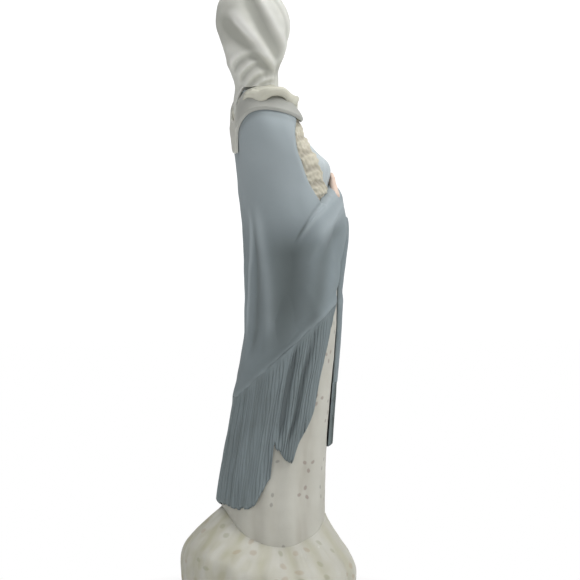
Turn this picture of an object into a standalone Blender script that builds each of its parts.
"""A bisque porcelain Madonna, built from the pieces that a slip-casting workshop joins before firing.

Run it with  blender --background --python part.py  or from Blender's text editor.

The figure faces -Y and stands on Z = 0. Her right side is -X. Most pieces are shells over one body form:
a point on the form is given by its angle round the body, in degrees from straight ahead and positive towards
her right, and by its height. A piece that lies on another is lifted off the form by the thickness under it.
"""

import math

import bmesh
import bpy
from mathutils import Matrix, Vector

MM = 0.001

# ---------------------------------------------------------------- driving sizes
STATUE_HEIGHT = 350 * MM
HEM_WIDTH = 108 * MM

# Proportions are drawn on a master figure and sized up from it.
MASTER_HEIGHT = 350
MASTER_HEM_WIDTH = 108

WALL = 3.0 * MM  # wall of the large castings
SHAWL_THICKNESS = 2.6 * MM
CAPE_THICKNESS = 2.2 * MM
LAPEL_THICKNESS = 1.8 * MM
FRILL_THICKNESS = 2.0 * MM
HOOD_THICKNESS = 2.6 * MM
WRAP_THICKNESS = 1.6 * MM  # of the wrap's tail
SLIP_GAP = 0.5 * MM  # room for the slip that sticks one piece to the next

BASE_THICKNESS = 4.0 * MM
VENT_RADIUS = 6.0 * MM
FLOUNCE_LIP = 1.8 * MM  # thickness of the flounce where it starts on the skirt
PLEAT_COUNT = 18
PLEAT_DEPTH = 1.6 * MM
FRILL_WAVES = 13
FRILL_WAVE = 1.5 * MM

SPIGOT_LENGTH = 8.0 * MM  # the bodice's spigot, down inside the skirt
NECK_RADIUS = 8.0 * MM
NECK_TENON_LENGTH = 12.0 * MM
WRIST_TENON_LENGTH = 6.0 * MM

HEAD_ROOM = 1.0 * MM  # between the skull and the hood
HEAD_BOW = 10.0  # degrees that the head is bowed
HEAD_TURN = 8.0  # degrees that it is turned towards her left
FACE_OPENING_HALF_WIDTH = 11.0 * MM

TALL = STATUE_HEIGHT / MASTER_HEIGHT
WIDE = HEM_WIDTH / MASTER_HEM_WIDTH
FRINGE_GAP = SLIP_GAP / TALL * 1.5  # between the shawl's hem and its fringe, on the master

# ---------------------------------------------------------------- landmarks, on the master figure
GOWN_BOTTOM = 22
WAIST_JOINT = 214
GOWN_TOP = 286
MANTLE_TOP = 276
MANTLE_BACK_DROP = 11  # how much lower the shawl's top is behind
CAPE_TOP = 279
DROP_TOP = 207  # where the shawl's ends leave the forearms
HOOD_BOTTOM = 298.5
WRAP_BOTTOM = 288
WRAP_TAIL = 11  # how much further down the wrap runs at the back
WRAP_LIP = 0.4
HEM_BACK = 109  # the shawl's hem at the middle of the back
HEM_CORNER = 163  # and at its front corner
HEM_CORNER_ANGLE = 51
MANTLE_FRONT_ANGLE = 61
EDGE_GAP = 1.6  # degrees between the edges of neighbouring pieces
EDGE_ROUNDS = 12  # passes that settle a point on two slanting edges
CAPE_COLUMNS = 32
LAPEL_BOTTOM = 224
LAPEL_TOP = 268
FRINGE_SPLIT_ANGLE = 104  # between the long back fringe and the side one
BACK_FRINGE_END = 50
SIDE_FRINGE_END = 74
LEFT_FRINGE_END = 82
LEFT_HEM = 118  # the shawl's left end, in front
LEFT_EDGE = 8  # angle of its free edge
LEFT_FRINGE_BACK = -40  # and of the back of its fringe
HEAD_MIDDLE = 322

# Height, half width, reach forward and reach back of the gown. Reaches are from the middle of the base.
GOWN = (
    (0, 31.5, 33.0, -27.5),
    (24, 31.5, 33.0, -27.5),
    (50, 31.0, 33.0, -27.3),
    (75, 29.5, 33.5, -23.6),
    (103, 29.5, 35.3, -18.4),
    (144, 30.0, 38.6, -10.5),
    (165, 30.0, 39.4, -9.2),
    (185, 28.5, 39.2, -9.2),
    (206, 25.5, 37.6, -9.8),
    (220, 25.0, 34.8, -11.6),
    (230, 25.4, 33.7, -13.0),
    (238, 26.3, 34.5, -13.8),
    (244, 27.0, 33.3, -14.4),
    (250, 27.7, 27.9, -14.8),
    (257, 27.9, 21.8, -15.2),
    (264, 26.8, 18.2, -15.4),
    (271, 23.5, 15.0, -15.6),
    (278, 18.6, 10.0, -16.0),
    (284, 12.6, 5.2, -16.8),
    (288, 11.0, 4.2, -17.2),
)
# The arms under the shawl: height and how far they push it out at her sides.
ARM_ROOM = ((150, 0.0), (185, 5.5), (206, 9.0), (228, 9.0), (250, 6.0), (268, 3.5), (280, 0.5), (290, 0.0))
# Height, half width, reach forward and reach back of the veil on the head and round the neck.
VEIL = (
    (272, 22.0, 11.0, -19.8),
    (280, 17.0, 8.5, -19.8),
    (288, 11.8, 6.0, -19.0),
    (292, 12.0, 5.8, -19.8),
    (296, 13.0, 6.5, -21.2),
    (302, 15.0, 8.6, -23.4),
    (309, 16.6, 10.4, -25.2),
    (316, 17.8, 12.2, -27.6),
    (323, 18.2, 12.9, -29.8),
    (329, 17.8, 11.8, -30.0),
    (336, 16.0, 8.9, -28.8),
    (342, 13.0, 4.2, -25.4),
    (346.5, 8.8, -1.2, -19.8),
    (349, 4.6, -5.4, -14.6),
    (350, 0.6, -9.2, -10.4),
)
# Height and angle of the shawl's front edge on the chest, which runs round behind each arm.
MANTLE_EDGE = (
    (163, 61),
    (212, 61),
    (220, 62),
    (227, 70),
    (234, 76),
    (241, 79),
    (248, 79),
    (255, 76),
    (262, 72),
    (268, 64),
    (276, 56),
)
# Height and angle of the lace bands' front edge.
LAPEL_EDGE = ((224, 40), (230, 36), (236, 43), (242, 49), (250, 51), (260, 52), (268, 50))
# Height and angle of the front edge of the shawl's right end.
DROP_EDGE = (
    (72, 84),
    (86, 79),
    (95, 72),
    (104, 67),
    (124, 65),
    (140, 61),
    (155, 56),
    (170, 47),
    (182, 36),
    (192, 24),
    (210, 13),
)
# How much of the way from skirt to hem the flounce has gone out, by the share of its drop.
FLARE_FRONT = (
    (0.0, 0.0),
    (0.15, 0.16),
    (0.35, 0.52),
    (0.5, 0.8),
    (0.66, 0.99),
    (0.8, 1.0),
    (0.9, 0.98),
    (1.0, 0.94),
)
FLARE_BACK = (
    (0.0, 0.0),
    (0.13, 0.25),
    (0.28, 0.6),
    (0.42, 0.87),
    (0.56, 0.98),
    (0.7, 1.0),
    (0.87, 0.97),
    (1.0, 0.94),
)
HEM = (HEM_WIDTH / 2, 50.3, -50.3)  # half width, and reaches on the master

FRILL_RIM = (27.5, 13.8, -22.8)  # half width, and reaches
FRILL_RISE = 3.5  # how much higher its inner edge is than its rim
FRILL_SIDE = 286.5  # height of the rim over the shoulders
FRILL_FRONT_DROP = 5.2  # how much lower it is in front
FRILL_BACK_DROP = 12.0  # and behind

COLUMNS = 40  # round the body

HEAD_HALF = (15.7, 18.9, 24.1)  # half width, half depth and half height of the veiled head
# The jaw and the nose on the skull: their half sizes, then how far ahead and how high they are.
JAW = (8.6, 9.0, 10.0, 5.4, -12.5)
NOSE = (1.8, 3.2, 4.0, 14.8, -3.0)
FACE_HALF_HEIGHT = 17.5
FACE_DROP = 3.5  # the face opening is lower than the middle of the head

# The wrists, with the right hand over the left, and the tenon's half width and half thickness.
WRIST_OUT = 12
WRIST_HEIGHT = 226.5
LEFT_HAND_REACH = 34.8
RIGHT_HAND_REACH = 39.0
HAND_LEAN = 3.0  # degrees
HAND_RISE = 33.0
TENON = (2.2, 1.4)
# Along the hand from the wrist: half width and half thickness.
HAND = (
    (0, 3.0, 1.8),
    (5, 3.6, 1.9),
    (10, 4.5, 1.9),
    (16, 4.2, 1.7),
    (20.5, 3.3, 1.4),
    (23, 1.2, 0.7),
)
THUMB = (5.2, 1.5, 1.4, 10.0, 4.4)  # half sizes, then how far along and across the hand
KNUCKLES = (9, 15)  # where the grooves between the fingers start and are full
GROOVE = 0.22
# A draped forearm from elbow to cuff: across, ahead and height, then its half height and half thickness.
FOREARM = (
    (35.5, 19.0, 203.5, 5.0, 3.0),
    (34.0, 23.0, 204.0, 11.0, 6.6),
    (29.5, 28.0, 207.0, 12.6, 8.4),
    (24.0, 32.0, 211.5, 11.8, 8.6),
    (18.5, 34.6, 216.8, 10.2, 8.2),
    (14.0, 36.0, 221.0, 8.0, 6.8),
    (10.6, 36.4, 223.8, 6.0, 5.5),
    (8.2, 36.5, 225.4, 4.9, 4.8),
)
ARM_REST = 3.6 * MM  # the shawl and slip that the forearms' path is drawn to clear
RING_STEP = 6  # height between the rings of the form under the forearms


# ---------------------------------------------------------------- the body form
def blend_table(table, at):
    """Every column of the table, read smoothly at a value of its first column."""
    keys = [row[0] for row in table]
    at = min(max(at, keys[0]), keys[-1])
    i = max(k for k in range(len(keys) - 1) if keys[k] <= at)
    span = keys[i + 1] - keys[i]
    t = (at - keys[i]) / span

    def slope(k, column):
        low, high = max(k - 1, 0), min(k + 1, len(keys) - 1)
        return (table[high][column] - table[low][column]) / (keys[high] - keys[low])

    values = []
    for column in range(1, len(table[0])):
        a, b = table[i][column], table[i + 1][column]
        m0, m1 = slope(i, column) * span, slope(i + 1, column) * span
        values.append(
            a * (2 * t**3 - 3 * t**2 + 1)
            + m0 * (t**3 - 2 * t**2 + t)
            + b * (3 * t**2 - 2 * t**3)
            + m1 * (t**3 - t**2)
        )
    return values


def smoothstep(low, high, x):
    t = min(max((x - low) / (high - low), 0.0), 1.0)
    return t * t * (3 - 2 * t)


def side_of(angle):
    """Degrees from straight ahead, whichever side it is on."""
    return abs((angle + 180) % 360 - 180)


def back_drop(angle):
    """How much lower the collar's edges are at the back of the neck than over the shoulders, as a share."""
    return smoothstep(132, 178, side_of(angle))


def front_drop(angle):
    return 1 - smoothstep(25, 75, side_of(angle))


def oval_radius(angle, half_width, half_depth, squareness=2.25):
    """Radius of a slightly squared oval at an angle from straight ahead."""
    s, c = abs(math.sin(math.radians(angle))), abs(math.cos(math.radians(angle)))
    return ((s / half_width) ** squareness + (c / half_depth) ** squareness) ** (-1 / squareness)


def section_point(table, angle, height, extra=0.0):
    """A point of the oval section that a table gives at a height, pushed out by extra."""
    half_width, ahead, behind = blend_table(table, height)
    middle, half_depth = (ahead + behind) / 2 * WIDE, (ahead - behind) / 2 * WIDE
    radius = oval_radius(angle, half_width * WIDE, half_depth) + extra
    a = math.radians(angle)
    return Vector((-radius * math.sin(a), -middle - radius * math.cos(a), height * TALL))


def arm_room(angle, height):
    """How far the arm under the shawl pushes it out here."""
    side = side_of(angle)
    share = smoothstep(46, 88, side) * (1 - smoothstep(96, 172, side))
    return blend_table(ARM_ROOM, height)[0] * share * WIDE


def gown_point(angle, height):
    return section_point(GOWN, angle, height)


def draped_point(angle, height):
    return section_point(GOWN, angle, height, arm_room(angle, height))


def lifted(form, angle, height, lift):
    """A point lifted off a form along its outward normal."""
    step_angle, step_height = 0.5, 0.25
    along = form(angle + step_angle, height) - form(angle - step_angle, height)
    up = form(angle, height + step_height) - form(angle, height - step_height)
    normal = up.cross(along).normalized()
    return form(angle, height) + normal * lift


# ---------------------------------------------------------------- making meshes
def clear_scene():
    for thing in list(bpy.data.objects):
        bpy.data.objects.remove(thing)


def collection(name, shown=True):
    made = bpy.data.collections.new(name)
    bpy.context.scene.collection.children.link(made)
    made.hide_render = not shown
    return made


def finish(name, colour, roughness):
    """A plain Principled material."""
    made = bpy.data.materials.new(name)
    made.use_nodes = True
    shader = made.node_tree.nodes["Principled BSDF"]
    shader.inputs["Base Color"].default_value = (*colour, 1)
    shader.inputs["Roughness"].default_value = roughness
    shader.inputs["Metallic"].default_value = 0.0
    return made


def add(name, mesh, into, material=None):
    thing = bpy.data.objects.new(name, mesh)
    into.objects.link(thing)
    if material:
        mesh.materials.append(material)
    if into.hide_render:
        thing.hide_render = True
        thing.display_type = "WIRE"
    mesh.shade_smooth()
    mesh.set_sharp_from_angle(angle=math.radians(40))
    return thing


def face_outward(builder):
    """Turns every face of a closed mesh outwards."""
    bmesh.ops.recalc_face_normals(builder, faces=builder.faces)
    if builder.calc_volume(signed=True) < 0:
        bmesh.ops.reverse_faces(builder, faces=builder.faces)


def grid_mesh(name, rows, loop_columns=False, loop_rows=False):
    """Quads between rows of points. Rows run up the body and columns round it, towards her right."""
    mesh = bpy.data.meshes.new(name)
    builder = bmesh.new()
    verts = [[builder.verts.new(p) for p in row] for row in rows]
    across = len(rows[0])
    for j in range(len(rows) if loop_rows else len(rows) - 1):
        low, high = verts[j], verts[(j + 1) % len(rows)]
        for i in range(across if loop_columns else across - 1):
            k = (i + 1) % across
            builder.faces.new((low[i], high[i], high[k], low[k]))
    if loop_columns and not loop_rows:
        return mesh, builder, verts
    if loop_rows:
        face_outward(builder)
    builder.to_mesh(mesh)
    builder.free()
    return mesh, None, verts


def hollow_casting(name, rings, into, material=None):
    """A closed wall from rings that run up its outside and down its inside."""
    mesh, _, _ = grid_mesh(name, rings, loop_columns=True, loop_rows=True)
    return add(name, mesh, into, material)


def capped_solid(name, rings, into, material=None):
    """A closed solid from rings, with a flat face over the first and the last."""
    mesh, builder, verts = grid_mesh(name, rings, loop_columns=True)
    builder.faces.new(verts[0])
    builder.faces.new(verts[-1])
    face_outward(builder)
    builder.to_mesh(mesh)
    builder.free()
    return add(name, mesh, into, material)


def thicken(thing, thickness, offset):
    """Gives a sheet its thickness, outwards for an offset of 1 and inwards for -1."""
    wall = thing.modifiers.new("thickness", "SOLIDIFY")
    wall.thickness = thickness
    wall.offset = offset
    return thing


def draped_shell(name, rows, thickness, into, material=None):
    """An open sheet that grows outwards to its thickness."""
    mesh, _, _ = grid_mesh(name, rows)
    return thicken(add(name, mesh, into, material), thickness, 1)


def cut(thing, *cutters):
    for cutter in cutters:
        boolean = thing.modifiers.new("cut_" + cutter.name, "BOOLEAN")
        boolean.operation = "DIFFERENCE"
        boolean.object = cutter


def join(thing, *others):
    for other in others:
        boolean = thing.modifiers.new("join_" + other.name, "BOOLEAN")
        boolean.operation = "UNION"
        boolean.object = other


def spread(low, high, count):
    return [low + (high - low) * i / (count - 1) for i in range(count)]


def levels(low, high, step):
    return spread(low, high, max(2, math.ceil((high - low) / step) + 1))


def all_round(count=COLUMNS):
    return [360 * i / count for i in range(count)]


def ring(form, height, lift=0.0, count=COLUMNS):
    return [lifted(form, angle, height, lift) for angle in all_round(count)]


# ---------------------------------------------------------------- the gown
def neck_centre():
    _, ahead, behind = blend_table(VEIL, WRAP_BOTTOM)
    return -(ahead + behind) / 2 * WIDE


def flat_ring(radius, y, z, count=COLUMNS):
    """A level circle, with its points in step with the body's angles."""
    turns = [math.radians(angle) for angle in all_round(count)]
    return [Vector((-radius * math.sin(a), y - radius * math.cos(a), z)) for a in turns]


def inset_ring(height, inset):
    """The gown's section at a height, drawn in level by an inset."""
    return [section_point(GOWN, angle, height, -inset) for angle in all_round()]


def make_gown(into, white):
    heights = levels(GOWN_BOTTOM, WAIST_JOINT, 13)
    outside = [ring(gown_point, h) for h in heights]
    spigot_low = WAIST_JOINT - SPIGOT_LENGTH / TALL
    inside = [inset_ring(h, WALL) for h in (WAIST_JOINT, *reversed(levels(GOWN_BOTTOM, spigot_low, 40)))]
    hollow_casting("gown_skirt", outside + inside, into, white)

    gap = SLIP_GAP / TALL
    heights = levels(WAIST_JOINT + gap, GOWN_TOP, 6)
    outside = [ring(gown_point, h) for h in heights]
    y, bore = neck_centre(), NECK_RADIUS + SLIP_GAP
    top = GOWN_TOP * TALL
    neck_low = top - NECK_TENON_LENGTH
    outside += [flat_ring(bore, y, top), flat_ring(bore, y, neck_low)]
    heights = [h for h in levels(WAIST_JOINT + gap, GOWN_TOP, 12) if h * TALL < neck_low - WALL]
    inside = [inset_ring(h, WALL + SLIP_GAP + WALL * 0.8) for h in reversed(heights)]
    spigot_inset = WALL + SLIP_GAP
    spigot = [
        inset_ring(spigot_low, spigot_inset + WALL * 0.8),
        inset_ring(spigot_low, spigot_inset),
        inset_ring(WAIST_JOINT + gap, spigot_inset),
    ]
    hollow_casting("gown_bodice", outside + inside + spigot, into, white)


# ---------------------------------------------------------------- hem and base
def seam_height(angle):
    """The flounce starts lower at her sides than in front, and highest behind."""
    return 36.0 + 8.0 * math.cos(math.radians(2 * angle)) + 4.5 * smoothstep(120, 170, side_of(angle))


def hem_point(angle, height, inset):
    half_width, ahead, behind = HEM
    middle, half_depth = (ahead + behind) / 2 * WIDE, (ahead - behind) / 2 * WIDE
    radius = oval_radius(angle, half_width, half_depth, 2.1) - inset
    a = math.radians(angle)
    return Vector((-radius * math.sin(a), -middle - radius * math.cos(a), height))


def foot_inset():
    return PLEAT_DEPTH + WALL + 0.05 * (HEM_WIDTH / 2 - 31.0 * MM)


def flounce_point(angle, share, inset=0.0, pleated=True):
    """On the flounce, share of the way down from its seam to the floor."""
    start = seam_height(angle)
    height = start * (1 - share)
    top = section_point(GOWN, angle, height, SLIP_GAP + FLOUNCE_LIP)
    hem = hem_point(angle, 0, 0)
    behind = smoothstep(50, 130, side_of(angle))
    out = blend_table(FLARE_FRONT, share)[0] * (1 - behind) + blend_table(FLARE_BACK, share)[0] * behind
    point = top.lerp(hem, out)
    point.z = height * TALL
    outward = Vector((-math.sin(math.radians(angle)), -math.cos(math.radians(angle)), 0))
    wave = math.cos(math.radians(PLEAT_COUNT * angle)) - 1
    depth = PLEAT_DEPTH * 0.5 * smoothstep(0.0, 0.45, share) if pleated else 0.0
    return point + outward * (wave * depth - inset)


def make_hem(into, white):
    columns = all_round(PLEAT_COUNT * 4)
    shares = (0.0, 0.2, 0.4, 0.56, 0.7, 0.84, 1.0)
    outside = [[flounce_point(a, s) for a in columns] for s in reversed(shares)]
    inside = []
    rest_height = BASE_THICKNESS + SLIP_GAP
    for share in shares[:-1:2]:
        inset = FLOUNCE_LIP + (foot_inset() - FLOUNCE_LIP) * smoothstep(0.0, 0.5, share)
        inside.append([flounce_point(a, share, inset, pleated=False) for a in columns])
    inside += [[hem_point(a, z, foot_inset()) for a in columns] for z in (rest_height, 0)]
    hollow_casting("hem_flounce", outside + inside, into, white)

    inset = foot_inset() + SLIP_GAP
    rims = [[hem_point(a, z, inset) for a in columns] for z in (0, BASE_THICKNESS)]
    middle = -(HEM[1] + HEM[2]) / 2 * WIDE
    vent = [flat_ring(VENT_RADIUS, middle, z, len(columns)) for z in (BASE_THICKNESS, 0)]
    hollow_casting("base_plate", rims + vent, into, white)


# ---------------------------------------------------------------- the shawl
def hem_line(angle):
    """Height of the shawl's hem: a shallow point at the middle of the back."""
    share = (side_of(angle) - HEM_CORNER_ANGLE) / (180 - HEM_CORNER_ANGLE)
    return HEM_CORNER - (HEM_CORNER - HEM_BACK) * math.sin(min(max(share, 0), 1) * math.pi / 2) ** 1.6


def drop_edge(height):
    """Angle of the right end's front edge, which sweeps back under the forearm and then hangs straight."""
    return blend_table(DROP_EDGE, height)[0]


def shell_rows(form, low, high, first, last, columns, rows, crowd=1.0):
    """Rows of a sheet on a form. low and high give heights at an angle, first and last angles at a height.

    A crowd over 1 sets the rows closer together towards the top.
    """
    made = []
    for j in range(rows + 1):
        t = 1 - (1 - j / rows) ** crowd
        row = []
        for s in spread(0, 1, columns + 1):
            height = HEM_CORNER
            for _ in range(EDGE_ROUNDS):
                angle = first(height) * (1 - s) + last(height) * s
                height = low(angle) + (high(angle) - low(angle)) * t
            row.append(lifted(form, angle, height, SLIP_GAP))
        made.append(row)
    return made


def always(value):
    """An edge that stays at one angle or height."""
    return lambda _: value


def mantle_edge(height):
    return blend_table(MANTLE_EDGE, height)[0]


def mantle_top(angle):
    return MANTLE_TOP - MANTLE_BACK_DROP * back_drop(angle)


def make_shawl(into, blue):
    rows = shell_rows(
        draped_point, hem_line, mantle_top, mantle_edge, lambda h: 360 - mantle_edge(h), 27, 16, 1.4
    )
    draped_shell("shawl_mantle", rows, SHAWL_THICKNESS, into, blue)

    # The right end hangs from the forearm; its front edge slants back to the hem's corner.
    back = MANTLE_FRONT_ANGLE - EDGE_GAP
    rows = shell_rows(draped_point, hem_line, always(DROP_TOP), drop_edge, always(back), 6, 6)
    draped_shell("shawl_drop_right", rows, SHAWL_THICKNESS, into, blue)

    # The left end hangs straight down in front, from the other forearm.
    low, high, first, last = always(LEFT_HEM), always(DROP_TOP), always(-back), always(LEFT_EDGE)
    rows = shell_rows(draped_point, low, high, first, last, 8, 8)
    draped_shell("shawl_drop_left", rows, SHAWL_THICKNESS, into, blue)


def fringe_end_back(angle):
    """Height where the long back fringe ends; it is shorter at its front edges."""
    past_split = smoothstep(FRINGE_SPLIT_ANGLE, FRINGE_SPLIT_ANGLE + 12, side_of(angle))
    return BACK_FRINGE_END + 14 * (1 - past_split)


def side_fringe_point(side, back, across, up):
    """On a side fringe, from its slanting front edge across to the back one, and from tip to hem."""
    tip = SIDE_FRINGE_END + 10 * abs(across - 0.15)
    height = tip + (HEM_CORNER - tip) * up
    for _ in range(EDGE_ROUNDS):
        front = drop_edge(height) if side > 0 else max(drop_edge(height), MANTLE_FRONT_ANGLE + 1)
        angle = front + (back - front) * across
        top = hem_line(angle) - FRINGE_GAP
        height = tip + (top - tip) * up
    return lifted(draped_point, side * angle, height, SLIP_GAP)


def make_fringe(into, blue):
    split = FRINGE_SPLIT_ANGLE + 1.0
    rows = shell_rows(
        draped_point,
        fringe_end_back,
        lambda a: hem_line(a) - FRINGE_GAP,
        always(split),
        always(360 - split),
        18,
        8,
    )
    draped_shell("fringe_back", rows, SHAWL_THICKNESS, into, blue)

    back = FRINGE_SPLIT_ANGLE - 1.0
    for side, name in ((1, "fringe_right"), (-1, "fringe_left")):
        across = spread(0, 1, 9)[::side]
        rows = [[side_fringe_point(side, back, share, up) for share in across] for up in spread(0, 1, 10)]
        draped_shell(name, rows, SHAWL_THICKNESS, into, blue)

    top = always(LEFT_HEM - FRINGE_GAP)
    rows = shell_rows(
        draped_point, always(LEFT_FRINGE_END), top, always(LEFT_FRINGE_BACK), always(LEFT_EDGE), 6, 3
    )
    draped_shell("fringe_front", rows, SHAWL_THICKNESS, into, blue)


# ---------------------------------------------------------------- collar
def cape_low(angle):
    """The cape arches over the arms, is short in front and hangs in a tongue down the back."""
    side = side_of(angle)
    over_arm = 266.5 + 7.5 * smoothstep(45, 90, side) - 6 * smoothstep(112, 148, side)
    return over_arm - 17 * smoothstep(146, 172, side)


def cape_top(angle):
    return CAPE_TOP - FRILL_FRONT_DROP * front_drop(angle) - FRILL_BACK_DROP * back_drop(angle)


def make_collar(into, cutters, cream):
    under = SHAWL_THICKNESS + 2.6 * SLIP_GAP
    columns = all_round(CAPE_COLUMNS)
    rows = []
    for t in spread(0, 1, 6):
        heights = [cape_low(angle) + (cape_top(angle) - cape_low(angle)) * t for angle in columns]
        rows.append([lifted(draped_point, a, h, under) for a, h in zip(columns, heights)])
    mesh, builder, _ = grid_mesh("collar_cape", rows, loop_columns=True)
    builder.to_mesh(mesh)
    builder.free()
    cape = thicken(add("collar_cape", mesh, into, cream), CAPE_THICKNESS, 1)

    for side, name in ((1, "lapel_right"), (-1, "lapel_left")):
        front = lambda h: side * blend_table(LAPEL_EDGE, h)[0]
        back = lambda h: side * (mantle_edge(h) - EDGE_GAP)
        edges = [front, back][::side]
        rows = shell_rows(gown_point, always(LAPEL_BOTTOM), always(LAPEL_TOP), *edges, 6, 11)
        draped_shell(name, rows, LAPEL_THICKNESS, into, cream)

    columns = all_round(FRILL_WAVES * 4)
    top = [[frill_point(a, share) for a in columns] for share in (0.0, 0.4, 0.75, 1.0)]
    shares = (1.0, 0.5, 0.0)
    bottom = [[frill_point(a, share, FRILL_THICKNESS * (1 + share)) for a in columns] for share in shares]
    hollow_casting("collar_frill", top + bottom, into, cream)

    # The cape's top takes the shape of the frill's underside.
    past = 4 * MM
    room = [[frill_point(a, 1.0, -2 * past, past) for a in columns]]
    room.append([frill_point(a, -0.3, -2 * past) for a in columns])
    for share, beyond in ((-0.3, 0.0), (0.0, 0.0), (0.5, 0.0), (1.0, SLIP_GAP), (1.0, past)):
        below = FRILL_THICKNESS * (1 + max(share, 0)) + 2 * SLIP_GAP
        room.append([frill_point(a, share, below, beyond) for a in columns])
    cut(cape, hollow_casting("frill_room", room[::-1], cutters))


def frill_point(angle, share, below=0.0, beyond=0.0):
    """On the frill, share of the way from the neck to its wavy rim, which is highest over the shoulders."""
    rim = FRILL_SIDE - FRILL_FRONT_DROP * front_drop(angle) - FRILL_BACK_DROP * back_drop(angle)
    start = section_point(VEIL, angle, rim + FRILL_RISE, 2 * SLIP_GAP)
    half_width, ahead, behind = FRILL_RIM
    radius = oval_radius(angle, half_width * WIDE, (ahead - behind) / 2 * WIDE) + beyond
    a = math.radians(angle)
    end = Vector((-radius * math.sin(a), -(ahead + behind) / 2 * WIDE - radius * math.cos(a), rim * TALL))
    point = start.lerp(end, share)
    point.z += FRILL_WAVE * math.cos(FRILL_WAVES * a) * max(share, 0) ** 1.5 - below
    return point


# ---------------------------------------------------------------- head and veil
def head_frame():
    """Turns and bows the head about its middle."""
    _, ahead, behind = blend_table(VEIL, HEAD_MIDDLE)
    middle = Vector((0, -(ahead + behind) / 2 * WIDE, HEAD_MIDDLE * TALL))
    turn = Matrix.Rotation(math.radians(HEAD_TURN), 4, "Z")
    bow = Matrix.Rotation(math.radians(HEAD_BOW), 4, "X")
    return Matrix.Translation(middle) @ turn @ bow


def ball(name, half, place, into, segments=22, rings=14):
    mesh = bpy.data.meshes.new(name)
    builder = bmesh.new()
    bmesh.ops.create_uvsphere(builder, u_segments=segments, v_segments=rings, radius=1)
    builder.transform(place @ Matrix.Diagonal((*half, 1)))
    face_outward(builder)
    builder.to_mesh(mesh)
    builder.free()
    return add(name, mesh, into)


def post(name, radius, low, high, into, segments=24):
    """A round post between two points."""
    mesh = bpy.data.meshes.new(name)
    builder = bmesh.new()
    axis = high - low
    bmesh.ops.create_cone(
        builder, cap_ends=True, segments=segments, radius1=radius, radius2=radius, depth=axis.length
    )
    turn = axis.to_track_quat("Z", "Y").to_matrix().to_4x4()
    builder.transform(Matrix.Translation((low + high) / 2) @ turn)
    builder.to_mesh(mesh)
    builder.free()
    return add(name, mesh, into)


def head_part(name, sizes, cutters):
    """A rounded part of the head: half sizes, then how far ahead of the head's middle and how high it is."""
    half_width, half_depth, half_height, ahead, height = sizes
    place = head_frame() @ Matrix.Translation((0, -ahead * WIDE, height * TALL))
    return ball(name, (half_width * WIDE, half_depth * WIDE, half_height * TALL), place, cutters, 20, 12)


def make_head(into, cutters, skin):
    frame = head_frame()
    under_hood = HOOD_THICKNESS + HEAD_ROOM
    sizes = [half * scale - under_hood for half, scale in zip(HEAD_HALF, (WIDE, WIDE, TALL))]
    head = ball("head", sizes, frame, into)
    head.data.materials.append(skin)
    y = neck_centre()
    low = GOWN_TOP * TALL - NECK_TENON_LENGTH + SLIP_GAP
    high = (frame @ Vector((0, 2.0 * WIDE, -10.0 * TALL))).z
    neck = post("neck", NECK_RADIUS, Vector((0, y, low)), Vector((0, y, high)), cutters)
    bore = post("neck_bore", NECK_RADIUS - WALL, Vector((0, y, low - WALL)), Vector((0, y, high)), cutters)
    skull_hollow = ball("skull_hollow", [size - WALL for size in sizes], frame, cutters, 20, 12)
    join(head, head_part("jaw", JAW, cutters), head_part("nose", NOSE, cutters), neck)
    cut(head, skull_hollow, bore)


def veil_point(angle, height):
    return section_point(VEIL, angle, height)


def wrap_bottom(angle):
    """The wrap ends on the shoulders and runs down in a tail at the back of the neck."""
    return WRAP_BOTTOM - WRAP_TAIL * back_drop(angle)


def make_veil(into, cutters, white):
    heights = levels(HOOD_BOTTOM, 336, 6.0) + [342, 346.5, 349, 350]
    rows = [[veil_point(a, h) for a in all_round()] for h in heights]
    mesh, builder, verts = grid_mesh("veil_hood", rows, loop_columns=True)
    builder.faces.new(verts[-1])
    face_outward(builder)
    builder.to_mesh(mesh)
    builder.free()
    hood = thicken(add("veil_hood", mesh, into, white), HOOD_THICKNESS, -1)
    hood.modifiers["thickness"].use_even_offset = True

    opening = post("face_opening", 1.0, Vector((0, 0, 0)), Vector((0, 0, 1.0)), cutters, 32)
    lie = Matrix.Rotation(math.radians(90), 4, "X")
    size = Matrix.Diagonal((FACE_OPENING_HALF_WIDTH, FACE_HALF_HEIGHT * TALL, 30 * WIDE, 1))
    opening.data.transform(head_frame() @ Matrix.Translation((0, 0, -FACE_DROP * TALL)) @ lie @ size)
    cut(hood, opening)

    top = HOOD_BOTTOM - SLIP_GAP / TALL
    columns = all_round()
    outside = []
    for share in spread(0, 1, 6):
        outside.append([veil_point(a, wrap_bottom(a) + (top - wrap_bottom(a)) * share) for a in columns])
    y = neck_centre()
    radius = NECK_RADIUS + SLIP_GAP
    inside = [flat_ring(radius, y, h * TALL) for h in (top, WRAP_BOTTOM + WRAP_LIP)]
    inside.append([section_point(VEIL, a, WRAP_BOTTOM + WRAP_LIP, -WRAP_THICKNESS) for a in columns])
    inside.append([section_point(VEIL, a, wrap_bottom(a), -WRAP_THICKNESS) for a in columns])
    hollow_casting("veil_wrap", outside + inside, into, white)


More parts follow.
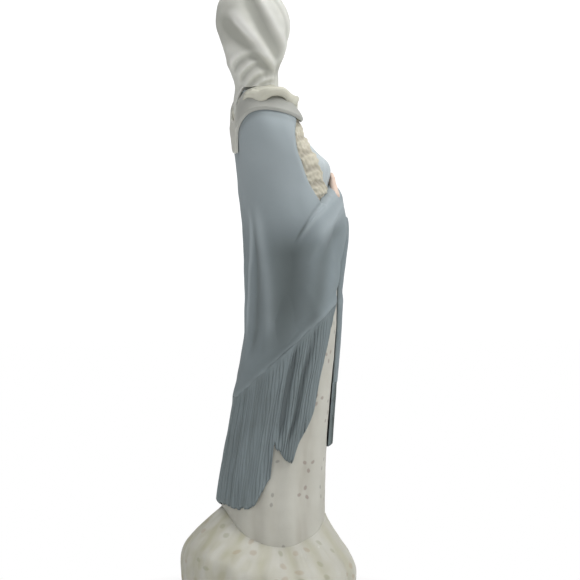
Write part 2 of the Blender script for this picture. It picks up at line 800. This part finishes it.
# ---------------------------------------------------------------- arms and hands
def forearm_rings(side):
    """Oval sections square to the forearm's middle line."""
    rings = []
    middles = []
    spare = SHAWL_THICKNESS + 2 * SLIP_GAP - ARM_REST
    for (x, ahead, z, _, _), share in zip(FOREARM, spread(1, 0, len(FOREARM))):
        outward = Vector((-side * x, -ahead, 0)).normalized() * spare * share
        middles.append(Vector((-side * x * WIDE, -ahead * WIDE, z * TALL)) + outward)
    for i, middle in enumerate(middles):
        along = middles[min(i + 1, len(middles) - 1)] - middles[max(i - 1, 0)]
        out = along.cross(Vector((0, 0, 1))).normalized()
        up = out.cross(along).normalized()
        half_height, half_thickness = FOREARM[i][3] * TALL, FOREARM[i][4] * WIDE
        turns = [math.radians(angle) for angle in all_round(18)]
        rings.append(
            [middle + up * half_height * math.cos(a) + out * half_thickness * math.sin(a) for a in turns]
        )
    return rings


def clearance_under_arms(cutters):
    """Everything the forearms and hands rest on, grown by the slip gap."""
    heights = levels(190, 250, RING_STEP)
    rings = []
    for h in heights:
        row = []
        for angle in all_round(60):
            side = side_of(angle)
            lift = SLIP_GAP
            if side > MANTLE_FRONT_ANGLE - 6 or h < DROP_TOP + RING_STEP:
                lift += SLIP_GAP + SHAWL_THICKNESS
            elif side > 24 and h > LAPEL_BOTTOM - RING_STEP:
                lift += SLIP_GAP + LAPEL_THICKNESS
            row.append(lifted(draped_point, angle, h, lift))
        rings.append(row)
    return capped_solid("under_arms", rings, cutters)


def hand_place(side, ahead):
    """Puts a hand that points along X with its back to Z on the chest, fingers up and across."""
    mirrored = Matrix.Diagonal((side, 1, 1, 1))
    at_wrist = Matrix.Translation((-WRIST_OUT * WIDE, -ahead * WIDE, WRIST_HEIGHT * TALL))
    lean = Matrix.Rotation(math.radians(-HAND_LEAN), 4, "X")
    rise = Matrix.Rotation(math.radians(-HAND_RISE), 4, "Y")
    stand = Matrix.Rotation(math.radians(90), 4, "X")
    return mirrored @ at_wrist @ lean @ rise @ stand


def hand_ring(place, along, half_width, half_thickness, grow=0.0, groove=0.0):
    row = []
    for turn in all_round(20):
        x = math.cos(math.radians(turn))
        dips = sum(math.exp(-(((x - middle) / 0.14) ** 2)) for middle in (-0.5, 0.0, 0.5))
        thickness = (half_thickness * WIDE + grow) * (1 - groove * dips)
        across = x * (half_width * WIDE + grow)
        row.append(place @ Vector((along * WIDE, across, thickness * math.sin(math.radians(turn)))))
    return row


def make_hand(name, side, ahead, into, cutters, skin):
    """A hand with its fingers together and a tenon behind the wrist, and the cutter for its socket."""
    place = hand_place(side, ahead)
    length = WRIST_TENON_LENGTH / WIDE
    gap = SLIP_GAP / WIDE
    rings = [hand_ring(place, along, *TENON) for along in (-length, 0)]
    for along, half_width, half_thickness in HAND:
        groove = GROOVE * smoothstep(*KNUCKLES, along)
        rings.append(hand_ring(place, along, half_width, half_thickness, groove=groove))
    hand = capped_solid(name, rings, into, skin)
    half_length, half_width, half_thickness, along, across = [size * WIDE for size in THUMB]
    at_thumb = place @ Matrix.Translation((along, across, 0)) @ Matrix.Rotation(math.radians(24), 4, "Z")
    join(hand, ball("thumb_" + name, (half_length, half_width, half_thickness), at_thumb, cutters, 10, 6))

    rings = [hand_ring(place, along, *TENON, grow=SLIP_GAP) for along in (-length - gap, -gap)]
    palm = [max(row[k] for row in HAND) for k in (1, 2)]
    rings += [hand_ring(place, along, *palm, grow=SLIP_GAP) for along in (-gap, KNUCKLES[0])]
    return hand, capped_solid("socket_" + name, rings, cutters)


def make_arms(into, cutters, blue, skin):
    under = clearance_under_arms(cutters)
    for side, name, ahead in ((-1, "left", LEFT_HAND_REACH), (1, "right", RIGHT_HAND_REACH)):
        hand, socket = make_hand("hand_" + name, side, ahead, into, cutters, skin)
        cut(hand, under)
        forearm = capped_solid("forearm_" + name, forearm_rings(side), into, blue)
        cut(forearm, under, socket)


# ---------------------------------------------------------------- the whole figure
def main():
    clear_scene()
    figure = collection("madonna_statue")
    cutters = collection("cutters", shown=False)
    white = finish("white_bisque", (0.80, 0.79, 0.75), 0.55)
    cream = finish("cream_bisque", (0.76, 0.73, 0.62), 0.6)
    blue = finish("blue_grey_bisque", (0.30, 0.36, 0.40), 0.5)
    skin = finish("skin_bisque", (0.82, 0.70, 0.61), 0.5)
    make_gown(figure, white)
    make_hem(figure, white)
    make_shawl(figure, blue)
    make_fringe(figure, blue)
    make_collar(figure, cutters, cream)
    make_head(figure, cutters, skin)
    make_veil(figure, cutters, white)
    make_arms(figure, cutters, blue, skin)


main()
